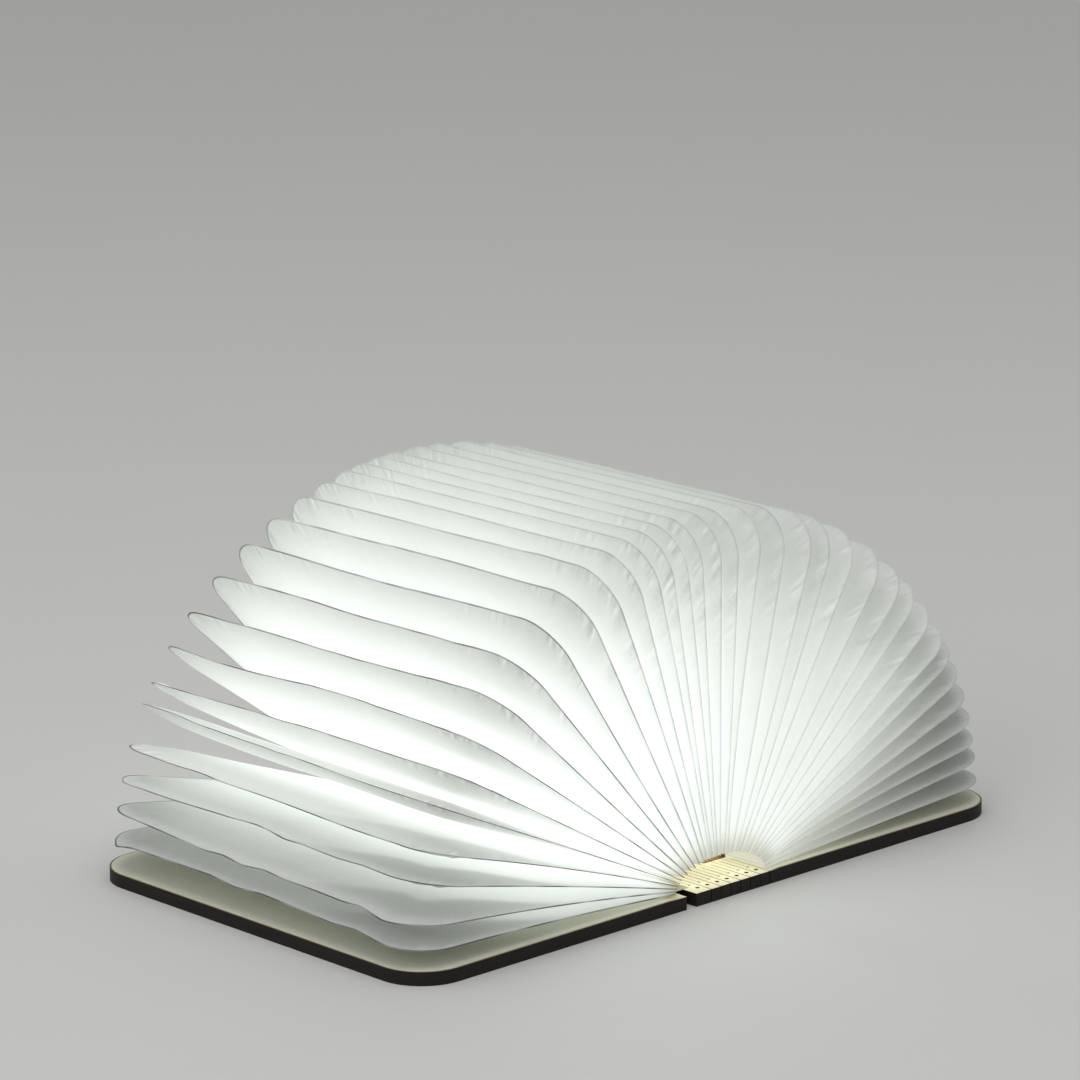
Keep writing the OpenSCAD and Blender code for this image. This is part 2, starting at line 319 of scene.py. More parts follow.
def sliced_copy(node_name, name, cuts):
    """A merged copy of a CAD node's shape, cut across at each x, to bend between the cuts."""
    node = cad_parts[node_name]
    piece = bpy.data.objects.new(name, node.data.copy())
    bpy.context.scene.collection.objects.link(piece)
    piece.data.transform(node.matrix_world)
    select_only(piece)
    bpy.ops.object.mode_set(mode="EDIT")
    bpy.ops.mesh.select_all(action="SELECT")
    bpy.ops.mesh.remove_doubles(threshold=1e-6)
    for x in cuts:
        bpy.ops.mesh.select_all(action="SELECT")
        bpy.ops.mesh.bisect(plane_co=(x, 0, 0), plane_no=(1, 0, 0))
    bpy.ops.object.mode_set(mode="OBJECT")
    bpy.ops.object.shade_flat()
    at_rest = np.empty(len(piece.data.vertices) * 3, dtype=np.float32)
    piece.data.vertices.foreach_get("co", at_rest)
    layer = piece.data.attributes.new("at_rest", "FLOAT_VECTOR", "POINT")
    layer.data.foreach_set("vector", at_rest)
    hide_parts(node_name)
    return piece


bending_plywood = board_finish("bending_plywood", "at_rest")
for side, cover, node_name in ((-1, "left_cover", "spine_left_strip"),
                               (1, "right_cover", "spine_right_strip")):
    cuts = [side * (HALF_CORE + (BEND_END - HALF_CORE) * i / BEND_STEPS)
            for i in range(1, BEND_STEPS + 1)]
    strip = sliced_copy(node_name, node_name + "_bending", cuts)
    paint(strip, bending_plywood)
    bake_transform(strip)


# Light unit: a plywood strip on two rails, with a flexible circuit and eighteen chips on
# top. Its sawn ends are scorched darker than its sides.

STRIP_END = 100.5 * MM
STRIP_PLY = 1.1 * MM


def strip_wood_finish():
    wood = Finish("strip_plywood", Specular_IOR_Level=0.35)
    x, y, z = wood.place()
    grain = wood.noise(60, wood.stretched(10, 0.8, 14), detail=4)
    plies = wood.ramp(abs((z / STRIP_PLY) % 1 - 0.5), 0.2, 0.4)
    honey = wood.mix(grain, srgb(0.86, 0.72, 0.46), srgb(0.74, 0.57, 0.32))
    honey = wood.mix(plies * 0.5, honey, srgb(0.60, 0.42, 0.22))
    end = wood.ramp(abs(y), STRIP_END - 1.2 * MM, STRIP_END - 0.1 * MM)
    # The burn is patchy, and darkest on the right-hand half of the end
    burn = (wood.noise(260, wood.stretched(1, 0.4, 1), detail=3) * 0.7
            + wood.ramp(x, -1 * MM, 6 * MM) * 0.55)
    scorched = wood.mix(wood.ramp(burn, 0.35, 0.95), srgb(0.78, 0.61, 0.34), srgb(0.30, 0.18, 0.12))
    wood.set(Base_Color=wood.mix(end, honey, scorched),
             Roughness=wood.ramp(grain, 0.2, 0.8, 0.55, 0.7))
    return wood.bump(grain, 0.1 * MM, 0.4)


strip_wood = strip_wood_finish()
for name in ("led_carrier", "carrier_rails"):
    paint(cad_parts[name], strip_wood)

LIGHT_LEN = 197 * MM
CHIPS = 18
LED_PITCH = LIGHT_LEN / CHIPS
CHIP_TOP = 18 * MM


def along_chip(y):
    """Distance along the strip from the middle of the nearest chip."""
    return abs((y + LIGHT_LEN / 2) % LED_PITCH - LED_PITCH / 2)


def tape_finish():
    tape = Finish("white_circuit", Coat_Roughness=0.15, Roughness=0.35)
    x, y, _ = tape.place()
    # Tinned pads before and after each chip, and a copper trace along each edge
    from_pad = abs(along_chip(y) - 2.3 * MM)
    from_trace = abs(abs(x) - 2.9 * MM)
    pad = tape.ramp(from_pad, 0.55 * MM, 0.45 * MM) * tape.ramp(abs(x), 1.3 * MM, 1.2 * MM)
    trace = tape.ramp(from_trace, 0.30 * MM, 0.22 * MM)
    white = tape.mix(tape.noise(300), srgb(0.93, 0.93, 0.91), srgb(0.87, 0.87, 0.85))
    colour = tape.mix(trace * 0.5, white, srgb(0.80, 0.72, 0.58))
    colour = tape.mix(pad, colour, srgb(0.80, 0.78, 0.74))
    tape.set(Base_Color=colour, Metallic=pad * 0.9, Coat_Weight=0.4)
    return tape.bump(pad + trace, 0.05 * MM, 0.6)


paint(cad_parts["led_tape"], tape_finish())


def chip_finish():
    chip = Finish("phosphor_chips", Roughness=0.4)
    x, y, z = chip.place()
    # A window of yellow gel in the white case, on top of each chip
    gel = (chip.ramp(abs(x), 1.25 * MM, 1.05 * MM)
           * chip.ramp(along_chip(y), 1.6 * MM, 1.4 * MM)
           * chip.ramp(z, CHIP_TOP - 0.1 * MM, CHIP_TOP - 0.02 * MM))
    speck = chip.noise(900, detail=1)
    phosphor = chip.mix(speck, srgb(0.98, 0.88, 0.45), srgb(0.95, 0.80, 0.35))
    colour = chip.mix(gel, srgb(0.92, 0.92, 0.90), phosphor)
    glow = chip.mix(gel, BLACK, (1.0, 0.93, 0.78, 1))
    return chip.set(Base_Color=colour, Emission_Color=glow, Emission_Strength=4.0)


paint(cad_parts["led_chips"], chip_finish())


# Battery, charging board, socket, sensor and leads: they lie between the rails, on the core.

def foil_finish():
    foil = Finish("battery_foil", Metallic=0.85)
    y = foil.place()[1]
    creases = foil.noise(160, foil.stretched(1, 0.35, 1), detail=5, rough=0.62)
    amber_tape = foil.ramp(y, 6 * MM, 6.3 * MM) * foil.ramp(y, 9.3 * MM, 9 * MM)
    colour = foil.mix(creases, srgb(0.72, 0.73, 0.75), srgb(0.86, 0.87, 0.88))
    colour = foil.mix(amber_tape, colour, srgb(0.85, 0.55, 0.14))
    foil.set(Base_Color=colour, Roughness=foil.ramp(creases, 0.2, 0.8, 0.28, 0.48))
    return foil.bump(creases, 0.25 * MM, 0.6)


CIRCUIT_TOP = 8.2 * MM


def board_circuit_finish():
    circuit = Finish("green_circuit", Roughness=0.32, Coat_Weight=0.5, Coat_Roughness=0.2)
    z = circuit.place()[2]
    cells = circuit.add("TexVoronoi", {"feature": "DISTANCE_TO_EDGE"},
                        {"Vector": circuit.coordinates, "Scale": 900}, out="Distance")
    copper = circuit.ramp(cells, 0.05, 0.02)
    pads = circuit.ramp(circuit.noise(700, detail=0), 0.68, 0.72)
    resist = circuit.mix(copper * 0.5, srgb(0.05, 0.30, 0.17), srgb(0.11, 0.45, 0.25))
    colour = circuit.mix(pads, resist, srgb(0.83, 0.72, 0.45))
    packages = circuit.ramp(z, CIRCUIT_TOP + 0.05 * MM, CIRCUIT_TOP + 0.15 * MM)
    colour = circuit.mix(packages, colour, srgb(0.07, 0.07, 0.08))
    return circuit.set(Base_Color=colour, Metallic=pads * (1 - packages) * 0.8)


def steel_finish():
    steel = Finish("plated_steel", Metallic=0.95)
    brush = steel.noise(500, steel.stretched(1, 0.15, 1), detail=3)
    marks = steel.noise(90, detail=2)
    steel.set(Base_Color=steel.mix(marks, srgb(0.76, 0.76, 0.75), srgb(0.86, 0.86, 0.85)),
              Roughness=steel.ramp(brush, 0.3, 0.7, 0.24, 0.4))
    return steel.bump(brush, 0.03 * MM, 0.3)


def sensor_finish():
    black = Finish("black_plastic", Specular_IOR_Level=0.4)
    grit = black.noise(1800, detail=2)
    black.set(Base_Color=black.mix(grit, srgb(0.06, 0.06, 0.065), srgb(0.11, 0.11, 0.115)),
              Roughness=black.ramp(grit, 0.3, 0.7, 0.45, 0.6))
    return black.bump(grit, 0.02 * MM, 0.3)


# The leads of a pair lie on either side of this place, across or along the book
BATTERY_LEADS_SPLIT = 0
LIGHT_LEADS_SPLIT = 78.5 * MM


def lead_finish(name, axis, split):
    """Sleeves of a pair of leads: black before the split, red after it."""
    sleeve = Finish(name, Roughness=0.38)
    side = sleeve.place()[axis]
    shade = sleeve.noise(400, detail=1)
    red = sleeve.mix(shade, srgb(0.72, 0.08, 0.07), srgb(0.60, 0.05, 0.05))
    black = sleeve.mix(shade, srgb(0.07, 0.07, 0.07), srgb(0.12, 0.12, 0.12))
    is_red = sleeve.ramp(side, split, split + 0.1 * MM)
    return sleeve.set(Base_Color=sleeve.mix(is_red, black, red))


steel = steel_finish()
paint(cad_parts["battery_cell"], foil_finish())
paint(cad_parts["charging_board"], board_circuit_finish())
paint(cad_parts["magnet_sensor"], sensor_finish())
for name in ("charging_socket", "sensor_magnet", "left_magnets", "right_magnets"):
    paint(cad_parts[name], steel)
battery_sleeves = lead_finish("battery_lead_sleeves", 0, BATTERY_LEADS_SPLIT)
light_sleeves = lead_finish("light_lead_sleeves", 1, LIGHT_LEADS_SPLIT)
paint(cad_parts["battery_leads"], battery_sleeves)
paint(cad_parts["led_leads"], light_sleeves)


# Hinge tape: a woven paper strip glued over the gap, from the left cover to the spine.

THREAD = 0.55 * MM
# Cuts across the tape: the first one's place and their distance, in millimetres
FIRST_CUT, CUT_STEP, TAPE_CUTS = -32.5, 0.75, 23


def tape_paper_finish():
    weave = Finish("woven_paper_tape", "at_rest", Roughness=0.8, Specular_IOR_Level=0.3)
    x, y, _ = weave.place()
    warp = (x * (1 / THREAD)) % 1
    weft = (y * (1 / THREAD)) % 1
    threads = (weave.ramp(abs(warp - 0.5), 0.5, 0.25) * 0.5
               + weave.ramp(abs(weft - 0.5), 0.5, 0.25) * 0.5)
    cloth = threads * 0.7 + weave.noise(240, detail=4) * 0.3
    weave.set(Base_Color=weave.mix(cloth, srgb(0.80, 0.78, 0.68), srgb(0.93, 0.92, 0.85)))
    return weave.bump(cloth, 0.08 * MM, 0.7)


hinge_strip = sliced_copy("hinge_tape", "hinge_tape_woven",
                          [(FIRST_CUT + CUT_STEP * i) * MM for i in range(TAPE_CUTS)])
paint(hinge_strip, tape_paper_finish())
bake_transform(hinge_strip)


# End sheets: one sheet of the leaves' paper is glued flat inside each cover.

SHEET_STRIPS = 24


def paper_fibres(paper):
    """Fine tangled fibres and soft clouds, as spun-bonded paper shows against the light."""
    fibres = paper.noise(420, paper.stretched(1, 0.55, 1), detail=5, rough=0.65)
    clouds = paper.noise(28, detail=4, rough=0.55)
    return fibres, clouds


def end_sheet_finish():
    paper = Finish("glued_paper", Roughness=0.72, Specular_IOR_Level=0.3)
    fibres, clouds = paper_fibres(paper)
    x = paper.place()[0]
    # Painted glow: the light of the lamp brightens the glued paper next to the spine, painted in as
    # emission
    near_light = paper.ramp(abs(x), 120 * MM, 24 * MM) ** 1.6
    lit = paper.mix(near_light, (0.012, 0.013, 0.009, 1), (0.15, 0.15, 0.11, 1))
    colour = paper.mix(fibres * 0.6 + clouds * 0.4, srgb(0.73, 0.74, 0.67), srgb(0.84, 0.845, 0.79))
    paper.set(Base_Color=colour, Emission_Color=lit, Emission_Strength=1.0)
    return paper.bump(fibres * 0.5 + clouds * 0.5, 0.15 * MM, 0.6)


glued_paper = end_sheet_finish()
for node_name, cover in (("left_end_sheet", "left_cover"), ("right_end_sheet", "right_cover")):
    low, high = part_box(node_name)
    cuts = [low[0] + (high[0] - low[0]) * i / SHEET_STRIPS for i in range(1, SHEET_STRIPS)]
    lining = sliced_copy(node_name, node_name + "_glued", cuts)
    paint(lining, glued_paper)
    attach(lining, cover)


# Leaves: each is a pocket of two sheets, sealed round its three outer edges. It swells a
# little, stands on its foot above the light, and folds down into a skirt that meets the
# skirts of its neighbours. Lengths are in millimetres until a pocket gets its place.

LEAVES = 36
UPRIGHT = 18
LEAF_LEN = 148.0
LEAF_HALF_W = 104.5
LEAF_CORNER = 20.0
# Width of the sealed lip, half the thickness of two pressed sheets, and depth of the skirt
LIP = 0.9
HALF_PAPER = 0.18
SKIRT = 1.0
# Room that two neighbours leave between their sheets
PAPER_GAP = 0.03
# The feet stand on an arch of this reach and rise, above the boards' inner faces
FOOT_REACH, FOOT_RISE, FOOT_BASE = 28.5, 13.5, 6.0
UPRIGHT_X = -0.3125
FIRST_ANGLE, LAST_ANGLE = 4.8, 176.4
# Where the leaves stand closer: middle leaf, spread in leaves, and degrees of push
GATHERINGS = ((12.3, 4.2, 9.3), (28.5, 5.5, 6.3))


def fan_angle(k):
    """Degrees between the left cover and leaf k, as the leaves gather in the fan."""
    angle = FIRST_ANGLE + (LAST_ANGLE - FIRST_ANGLE) * (k - 1) / (LEAVES - 1)
    for middle, spread, push in GATHERINGS:
        angle += push * math.exp(-((k - middle) / spread) ** 2)
    return angle


def lean(k):
    return 0.0 if k == UPRIGHT else fan_angle(k) - 90


def foot(k):
    """Foot of leaf k across the book."""
    if k == UPRIGHT:
        return np.array((UPRIGHT_X, FOOT_BASE + FOOT_RISE))
    angle = math.radians(lean(k))
    return np.array((FOOT_REACH * math.sin(angle), FOOT_BASE + FOOT_RISE * math.cos(angle)))


def leaf_axes(k):
    """Unit vectors from the foot outwards, and from the left sheet to the right one."""
    angle = math.radians(lean(k))
    sine, cosine = math.sin(angle), math.cos(angle)
    return np.array((sine, cosine)), np.array((cosine, -sine))


def gap_to(k, other):
    """Half the room to a neighbour at the foot, and how fast it grows outwards."""
    across = leaf_axes(k)[1]
    start = abs(np.dot(foot(other) - foot(k), across)) / 2
    grow = math.tan(math.radians(abs(lean(other) - lean(k))) / 2)
    return start, grow


# Steps of the pocket's grid, out from the foot and across
GRID_OUT, GRID_ACROSS = 56, 84


def blank_pocket():
    """The flat pocket: two grids, one for each sheet, joined all round by a narrow rim."""
    bpy.ops.object.select_all(action="DESELECT")
    bpy.ops.mesh.primitive_grid_add(x_subdivisions=GRID_OUT, y_subdivisions=GRID_ACROSS, size=1)
    blank = bpy.context.object
    bpy.ops.object.mode_set(mode="EDIT")
    bpy.ops.mesh.select_all(action="SELECT")
    bpy.ops.mesh.duplicate()
    bpy.ops.transform.translate(value=(0, 0, -1))
    bpy.ops.mesh.flip_normals()
    bpy.ops.mesh.select_all(action="SELECT")
    bpy.ops.mesh.region_to_loop()
    bpy.ops.mesh.bridge_edge_loops()
    bpy.ops.mesh.select_all(action="SELECT")
    bpy.ops.mesh.normals_make_consistent(inside=False)
    bpy.ops.object.mode_set(mode="OBJECT")
    return blank


def points(mesh):
    flat = np.empty(len(mesh.vertices) * 3)
    mesh.vertices.foreach_get("co", flat)
    return flat.reshape(-1, 3)


blank = blank_pocket()
blank_co = points(blank.data)


def closer(t, first, steps):
    """Moves even steps on 0..1 so that the first one is only `first` wide."""
    step = 1 / steps
    return np.where(t < step, t / step * first, first + (t - step) / (1 - step) * (1 - first))


def leaf_grid():
    """Where each point of the blank lies on a leaf: out from the foot, across, and side.

    The side is -1 on the left sheet and 1 on the right one.
    """
    side = np.where(blank_co[:, 2] > -0.5, 1.0, -1.0)
    out = blank_co[:, 0] + 0.5
    across = blank_co[:, 1] * 2
    # Narrow steps along the sealed lips
    full = LEAF_LEN + SKIRT
    out = 1 - closer(1 - out, LIP / full, GRID_OUT)
    edge = closer(1 - np.abs(across), LIP / LEAF_HALF_W, GRID_ACROSS // 2)
    across = np.sign(across) * (1 - edge)
    u = out * full - SKIRT
    v = across * LEAF_HALF_W
    # The outer corners are round: a square corner patch becomes a quarter disc
    a = np.clip((u - (LEAF_LEN - LEAF_CORNER)) / LEAF_CORNER, 0, 1)
    b = np.clip((np.abs(v) - (LEAF_HALF_W - LEAF_CORNER)) / LEAF_CORNER, 0, 1)
    round_a, round_b = a * np.sqrt(1 - b * b / 2), b * np.sqrt(1 - a * a / 2)
    u = np.where(a > 0, LEAF_LEN - LEAF_CORNER + LEAF_CORNER * round_a, u)
    v = np.where(b > 0, np.sign(v) * (LEAF_HALF_W - LEAF_CORNER + LEAF_CORNER * round_b), v)
    return u, v, side


def seam_distance(u, v):
    """Distance from the nearest sealed edge, inwards."""
    from_end = LEAF_LEN - u
    from_side = LEAF_HALF_W - np.abs(v)
    in_corner = (from_end < LEAF_CORNER) & (from_side < LEAF_CORNER)
    corner = LEAF_CORNER - np.hypot(LEAF_CORNER - from_end, LEAF_CORNER - from_side)
    return np.maximum(np.where(in_corner, corner, np.minimum(from_end, from_side)), 0)


leaf_u, leaf_v, leaf_side = leaf_grid()
seam = seam_distance(leaf_u, leaf_v)
# Place along the outline, counted from the middle of the fore-edge. An offset keeps the
# creases of the near half apart from those of the far one.
RUN_PER_RADIAN = 150
NEAR_OFFSET = 400
edge_run = (np.arctan2(np.abs(leaf_v), np.clip(leaf_u, 1, None)) * RUN_PER_RADIAN
            + NEAR_OFFSET * (leaf_v < 0))


def ripples(u, v, seed, wave):
    """Smooth random waves over a leaf, of about the given length, within -1..1."""
    draw = np.random.default_rng(seed)
    total = np.zeros_like(u)
    for _ in range(6):
        turn = draw.uniform(0, math.pi)
        length = wave * draw.uniform(0.7, 1.5)
        phase = draw.uniform(0, 2 * math.pi)
        total += np.sin((u * math.cos(turn) + v * math.sin(turn)) * 2 * math.pi / length + phase)
    return total / 3.5


def corner_distance():
    """Distance along and across from the nearest outer corner of the leaf."""
    return np.hypot(LEAF_LEN - leaf_u, LEAF_HALF_W - np.abs(leaf_v))


# Each leaf draws its random values from seeds of its own, its number added to these
KINK_SEED, WAVE_SEED, DIM_SEED, PUCKER_SEED = 500, 900, 1300, 1700
# How far the near outer corner of a loose leaf hangs below its place in the fan
SAG = {1: 4.5, 2: 8.5, 3: 5.0, 4: 4.2, 5: 0.8, 6: 0.5}
# How far the far outer corner of a leaf stands above its place
LIFT = {5: 4.0}
# How full the left and the right sheet of a leaf are where they differ from the rest
FULL = {6: (1.6, 0.5), 7: (1.1, 0.8)}


@functools.cache
def bending(k):
    """How far each point of leaf k lies to the right of the leaf's own plane."""
    u, v = leaf_u, leaf_v
    if k == UPRIGHT:
        # Its two sheets flatten one by one, so neither may cross the middle of the leaf
        return np.zeros_like(u)
    reach = np.clip(u / LEAF_LEN, 0, 1)
    spacing = (gap_to(k, k + 1 if k < LEAVES else k - 1)[1] * LEAF_LEN
               + gap_to(k, k - 1 if k > 1 else k + 1)[1] * LEAF_LEN) / 2
    draw = np.random.default_rng(KINK_SEED + k)
    loose = math.exp(-((k - 1) / 2.6) ** 2)
    # Fore-edges wave, and have a few sharp kinks
    wave = ripples(v * 0.2, v, seed=WAVE_SEED + k, wave=120) * reach ** 2
    for _ in range(4):
        middle, width = draw.uniform(-95, 95), draw.uniform(9, 18)
        tent = np.clip(1 - np.abs(v - middle) / width, 0, 1)
        wave += draw.choice((-1.0, 1.0)) * tent * reach ** 4 * (0.25 + 0.5 * loose)
    bend = (0.9 + 0.9 * loose) * wave * min(1, spacing / 6)
    # Each leaf bows and tilts a little on its own, so that the gaps between leaves differ
    bow = draw.uniform(-1, 1) * (2.5 if k > UPRIGHT else 1.7 if k > 8 else 0.6)
    bend += bow * np.sin(math.pi * reach ** 0.8) * min(1, spacing / 5)
    tilt = draw.uniform(-1, 1) * (1.8 if k > UPRIGHT else 0)
    bend += tilt * reach
    nearness = 0.5 - v / (2 * LEAF_HALF_W)
    return (bend - SAG.get(k, 0.0) * reach ** 2 * (0.10 + 0.90 * nearness)
            + LIFT.get(k, 0.0) * reach ** 2 * (1 - nearness))


# Room between a cover's paper and the foot of the leaf next to it, at the left and right
COVER_ROOM = (0.35, 0.25)


def rooms(k):
    """The room on either side of each point of leaf k, up to its share of the gap."""
    u = np.clip(leaf_u, 0, None)
    if k > 1:
        start, grow = gap_to(k, k - 1)
        left = start + grow * u + (bending(k) - bending(k - 1)) / 2
    else:
        left = COVER_ROOM[0] + math.tan(math.radians(fan_angle(1))) * u + bending(1)
    if k < LEAVES:
        start, grow = gap_to(k, k + 1)
        right = start + grow * u + (bending(k + 1) - bending(k)) / 2
    else:
        right = COVER_ROOM[1] + math.tan(math.radians(180 - fan_angle(k))) * u - bending(k)
    return np.where(leaf_side < 0, left, right)


# Places of the creases along the outline, round an outer corner
PUCKER_RUNS = (81, 90, 98, 105, 112)


def puckers(k):
    """Short creases that run in from the seam at the round corners: 1 in shade, -1 lit."""
    draw = np.random.default_rng(PUCKER_SEED + k)
    inside = np.clip(seam - LIP, 0, None)
    creases = np.zeros_like(seam)
    for offset in (0, NEAR_OFFSET):
        for place in PUCKER_RUNS:
            middle = offset + place + draw.uniform(-3, 3)
            strength = draw.uniform(0.2, 1.8)
            run = (edge_run - middle) / 2.6
            creases += strength * (run + 0.3) * np.exp(-run ** 2)
    return np.clip(creases, -1, 1) * np.exp(-(inside / 6) ** 2)


def swelling(k):
    """How far each sheet of leaf k stands off the middle of the leaf."""
    u, v = leaf_u, leaf_v
    room = rooms(k)
    inside = np.clip(seam - LIP, 0, None)
    off_seam = np.clip(inside / 2, 0, 1)
    # A sheet rises steeply from its seam and is nearly flat from 42 mm inwards
    crown = 1 - (1 - np.clip(inside / 42, 0, 1)) ** 2.4
    reach = np.clip(u / LEAF_LEN, 0, 1)
    belly = np.minimum(0.62 * room * (1 - reach) ** 0.6 + 0.40 * room * reach ** 0.5, 0.56 * room)
    full_left, full_right = FULL.get(k, (1.0, 1.0))
    belly *= np.where(leaf_side < 0, full_left, full_right)
    height = crown * belly
    # Near the foot the pocket is open to the light and touches its neighbours' skirts
    free_room = room - HALF_PAPER - PAPER_GAP
    from_side = np.clip(LEAF_HALF_W - np.abs(v) - LIP, 0, None)
    open_foot = 1 - (1 - np.clip(from_side / 14, 0, 1)) ** 2
    foot_share = np.clip(1 - u / 14, 0, 1) ** 2
    height = height * (1 - foot_share) + open_foot * free_room * foot_share
    # Fine folds run inwards from the seam, most of all at the outer corners
    cornering = np.exp(-(corner_distance() / 44) ** 2)
    folds = ripples(edge_run, inside * 0.25, seed=40 * k + 3, wave=7.5)
    near_seam = np.exp(-((inside - 4) / 5) ** 2) * off_seam
    height += (0.05 + 0.60 * cornering) * np.abs(folds) ** 0.7 * np.sign(folds) * near_seam
    height -= (0.15 if k < 6 else 0.8) * puckers(k) * off_seam
    # Broad soft dents further in
    dents = ripples(u, v, seed=7 * k + (1 if k % 2 else 2), wave=70)
    height += 0.22 * dents * np.clip(inside / 20, 0, 1) * reach
    return HALF_PAPER + np.clip(height, 0, np.maximum(free_room, 0))


def inner_light(k):
    """Painted glow: how brightly the light inside leaf k shows through each point: 1 is the usual
    most.
    """
    reach = np.clip(leaf_u / LEAF_LEN, 0, 1)
    from_end = np.clip(LEAF_LEN - leaf_u, 0, None)
    from_side = np.clip(LEAF_HALF_W - np.abs(leaf_v), 0, None)
    # Less light gets into the leaves that lie nearly flat on the covers
    flat_left = math.exp(-((k - 1) / 1.25) ** 2)
    low_left = math.exp(-((k - 1) / 2.6) ** 2)
    flat_right = math.exp(-((LEAVES - k) / 6.5) ** 2)
    falloff = 0.16 + 0.52 * flat_left + 0.76 * flat_right
    light = 1 - falloff * reach ** (2 - 0.7 * flat_left - 1.3 * flat_right)
    light *= 1 - 0.22 * low_left * np.exp(-(leaf_u / 60) ** 2)
    # The left half of the fan is the brightest, out to the fore-edges
    bright = 1 / (1 + math.exp((k - 18.5) / 1.5)) / (1 + math.exp(5.6 - k))
    light *= 1 + 0.13 * bright * (1 - np.exp(-(leaf_u / 50) ** 2))
    # Towards the seams the pocket narrows, and less light comes through
    end_on = math.exp(-((k - 5.5) / 1.8) ** 2)
    light *= (1 - (0.34 - 0.20 * end_on) * (1 - 0.25 * bright) * np.exp(-from_end / 18)
              - 0.16 * (1 - 0.5 * bright) * np.exp(-from_end / 55))
    light *= 1 - 0.10 * np.exp(-from_side / 4) - 0.06 * np.exp(-from_side / 25)
    # Painted shade in the corners, where the sheets lie against each other and less light shows
    # through
    light *= 1 - 0.24 * (1 - 0.3 * bright) * np.exp(-(corner_distance() / 30) ** 2)
    # Some leaves lie closer together than others, and let less light through
    dimming = np.random.default_rng(DIM_SEED + k).uniform()
    light *= 1 - 0.13 * (1 - bright) * dimming * reach
    # A lens of shade in the near corner, where the sheets of the low leaves cling together
    taper = np.exp(-((from_side - from_end) / 58) ** 2) * (leaf_v < 0)
    lens = np.clip((25 * taper - seam) / 3.5, 0, 1)
    light *= 1 - (0.04 + 0.38 * math.exp(-((k - 2) / 2.3) ** 2)) * lens
    return np.clip(light, 0, 1.4)


def leaf_paper_finish():
    """White spun-bonded paper with a painted glow for the light inside: bright by the light, with
    painted shade at its seams.
    """
    paper = Finish("leaf_paper", Roughness=0.62, Specular_IOR_Level=0.25)
    fibres, clouds = paper_fibres(paper)
    from_seam, light, seam_shade_depth, crinkled, run, at_foot, pucker_shading = map(paper.attribute, (
        "from_seam", "inner_light", "seam_shade_depth", "crinkled", "edge_run", "at_foot", "pucker_shading"))
    # The pressed seam is a thin grey line, partly the pressed double edge and partly painted shade
    # where no light comes through, darker in some places than in others
    strokes = paper.add("CombineXYZ", None, {0: run * 2.2, 1: from_seam * 0.5, 2: 0.0})
    patchy = paper.ramp(paper.noise(18, strokes, detail=1), 0.35, 0.6, 0.5, 1)
    line = paper.ramp(from_seam, LIP * MM, 0.5 * MM) * seam_shade_depth * patchy
    # Fine crinkles cross the seam at the corners, with a painted highlight on one side and painted
    # shade on the other
    beside = paper.add("VectorMath", {"operation": "ADD"}, {0: strokes, 1: (0.0022, 0, 0)})
    slope = paper.noise(150, strokes, detail=1) - paper.noise(150, beside, detail=1)
    sparse = paper.ramp(paper.noise(45, strokes, detail=0), 0.42, 0.55)
    crinkle = slope * sparse * crinkled
    mottled = clouds * 0.5 + fibres * 0.5
    colour = paper.mix(mottled, srgb(0.745, 0.755, 0.745), srgb(0.805, 0.815, 0.805))
    colour = paper.mix(line, colour, srgb(0.22, 0.22, 0.205))
    glow = (light ** 1.7) * (0.94 + 0.12 * mottled) * (1 - crinkle * 3.6)
    # Painted shade and highlight on the puckers, and painted shade at the feet
    glow = glow * (1 - pucker_shading * 0.36) * (1 - at_foot * 0.5)
    glow = (0.01 + 0.58 * glow) * (1 - line)
    # The glow is white, and warmer at the feet, next to the chips and the wood
    tint = paper.mix(light, (0.96, 1.0, 0.90, 1), (0.955, 1.0, 0.975, 1))
    tint = paper.mix(at_foot, tint, (1.0, 0.97, 0.80, 1))
    tinted = paper.add("VectorMath", {"operation": "SCALE"}, {0: tint, "Scale": glow})
    paper.set(Base_Color=colour, Emission_Color=tinted, Emission_Strength=1.0)
    return paper.bump(fibres * 0.3 + clouds * 0.5 + crinkle * 3, 0.35 * MM, 0.6)


# Shift of the seam's pattern from one leaf to the next
PATTERN_STEP = 61


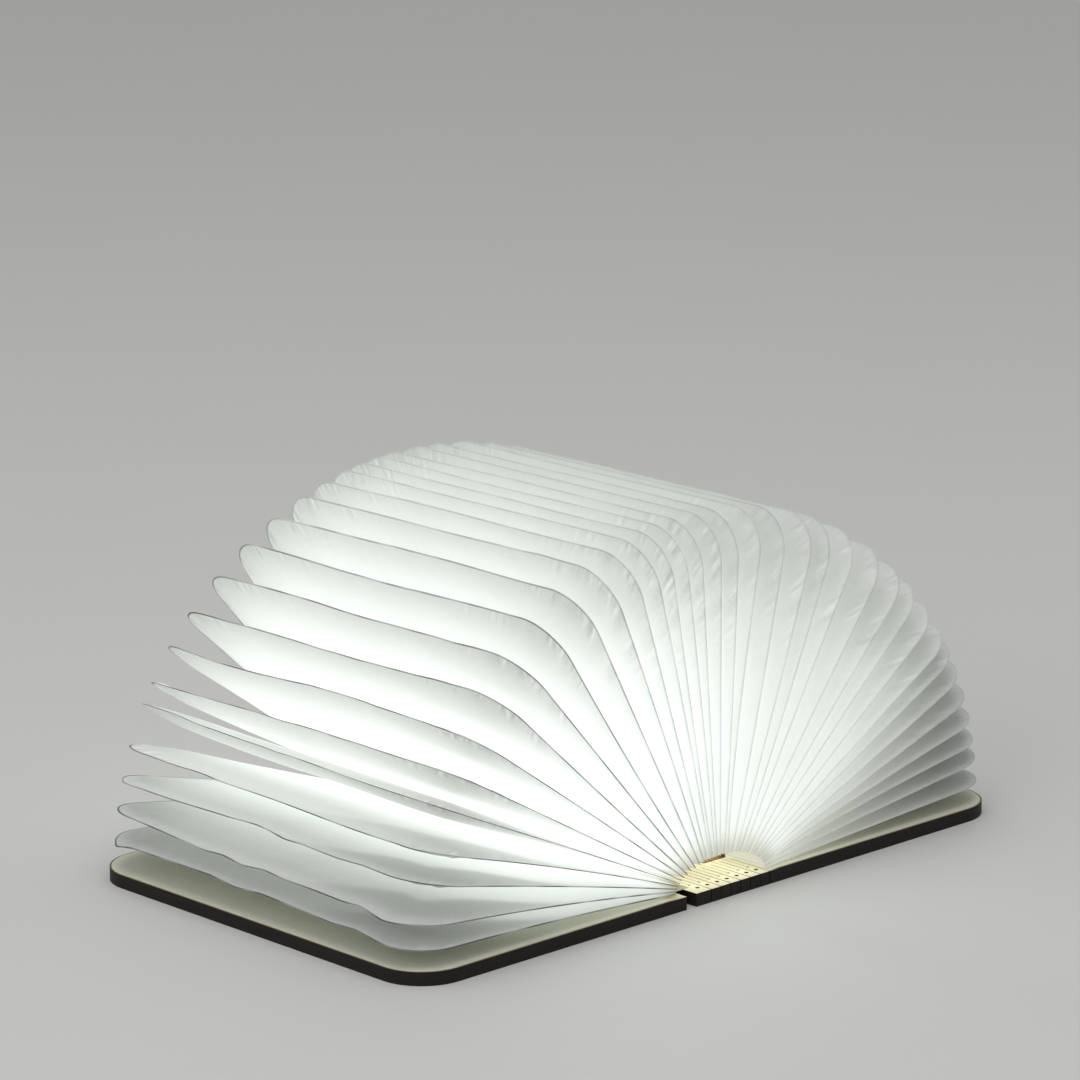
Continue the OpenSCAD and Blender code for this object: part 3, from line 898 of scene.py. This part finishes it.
def finish_leaf(name, k, keep_side=None):
    """One leaf's pocket at its place in the fan, or the half of it on side keep_side."""
    pocket = blank.copy()
    pocket.data = blank.data.copy()
    pocket.name = pocket.data.name = name
    bpy.context.scene.collection.objects.link(pocket)
    off = leaf_side * swelling(k)
    if keep_side is not None:
        off = np.where(leaf_side * keep_side > 0, off, 0)
    off += bending(k)
    along, across = leaf_axes(k)
    start = foot(k)
    place = np.empty_like(blank_co)
    place[:, 0] = start[0] + leaf_u * along[0] + off * across[0]
    place[:, 1] = leaf_v
    place[:, 2] = start[1] + leaf_u * along[1] + off * across[1]
    pocket.data.vertices.foreach_set("co", (place * MM).ravel())
    # The painted shade on the seams is darkest at the left, where bright paper lies behind them
    seam_shade_depth = 0.16 + 0.70 / (1 + math.exp((k - 11) / 1.2))
    crinkled = np.exp(-((seam - 2.5) / 3.0) ** 2) * np.exp(-(corner_distance() / 42) ** 2)
    # Painted shade at the feet: every other foot is dimmer, and next to the right cover the painted
    # light is warm and weak
    at_foot = np.exp(-(np.clip(leaf_u, 0, None) / 6) ** 2) * (1.0 if k % 2 else 0.6)
    at_foot = np.maximum(at_foot, 0.5 * math.exp(-((LEAVES + 0.5 - k) / 3.5) ** 2))
    for attribute, values in (
            ("from_seam", seam * MM),
            ("inner_light", inner_light(k)),
            ("seam_shade_depth", np.full_like(seam, seam_shade_depth)),
            ("crinkled", crinkled),
            ("edge_run", (edge_run + PATTERN_STEP * k) * MM),
            ("at_foot", at_foot),
            ("pucker_shading", puckers(k))):
        layer = pocket.data.attributes.new(attribute, "FLOAT", "POINT")
        layer.data.foreach_set("value", values.astype(np.float32))
    pocket.data.update()
    select_only(pocket)
    bpy.ops.object.mode_set(mode="EDIT")
    bpy.ops.mesh.select_all(action="SELECT")
    bpy.ops.mesh.normals_make_consistent(inside=False)
    bpy.ops.object.mode_set(mode="OBJECT")
    bpy.ops.object.shade_smooth_by_angle(angle=math.radians(40))
    return pocket


leaf_paper = leaf_paper_finish()
for k in range(1, LEAVES + 1):
    node_name = f"leaf_{k:02d}"
    across = leaf_axes(k)[1]
    anchor = tuple(c * MM for c in (foot(k)[0], 0, foot(k)[1]))
    if k == UPRIGHT:
        # The upright leaf stays on the spine, and is made as two halves, each swelling only on its
        # own side
        for side, joint in ((-1, "left_cover_hinge"), (1, "right_cover_hinge")):
            half = finish_leaf(f"{node_name}_{'left' if side < 0 else 'right'}_sheet", k, side)
            paint(half, leaf_paper)
            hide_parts(node_name, "pleat_root")
            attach(half, "spine")
            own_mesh(half)
    else:
        pocket = finish_leaf(f"{node_name}_pocket", k)
        paint(pocket, leaf_paper)
        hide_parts(node_name, "pleat_root")
        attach(pocket, node_name)
        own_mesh(pocket)
bpy.data.objects.remove(blank, do_unlink=True)


# Studio: a plain pale table and soft white light from the left, from above and all round.

bpy.ops.object.select_all(action="DESELECT")
bpy.ops.mesh.primitive_plane_add(size=14, location=(1.2, 1.2, 0))
table = bpy.context.object
table.name = "table"
table_top = Finish("pale_table", Roughness=0.6, Specular_IOR_Level=0.3)
table_tone = table_top.mix(table_top.noise(6, detail=2),
                           srgb(0.785, 0.785, 0.78), srgb(0.795, 0.795, 0.79))
table_top.set(Base_Color=table_tone)
paint(table, table_top)

scene = bpy.context.scene
scene.view_settings.view_transform = "Standard"
world = bpy.data.worlds.new("studio")
scene.world = world
world.use_nodes = True
background = world.node_tree.nodes["Background"]
background.inputs["Color"].default_value = (1.0, 1.0, 0.99, 1)
background.inputs["Strength"].default_value = 0.50


FAN_MIDDLE = Vector((0, 0, 0.07))


def soft_lamp(name, place, size, power):
    """A square area light that faces the middle of the fan."""
    data = bpy.data.lights.new(name, "AREA")
    data.size = size
    data.energy = power
    lamp = bpy.data.objects.new(name, data)
    scene.collection.objects.link(lamp)
    lamp.location = place
    lamp.rotation_euler = (FAN_MIDDLE - Vector(place)).to_track_quat("-Z", "Y").to_euler()


soft_lamp("overhead_light", (-0.3, -0.2, 2.2), 1.8, 18)
soft_lamp("side_light", (-2.0, -0.6, 1.2), 1.4, 9)
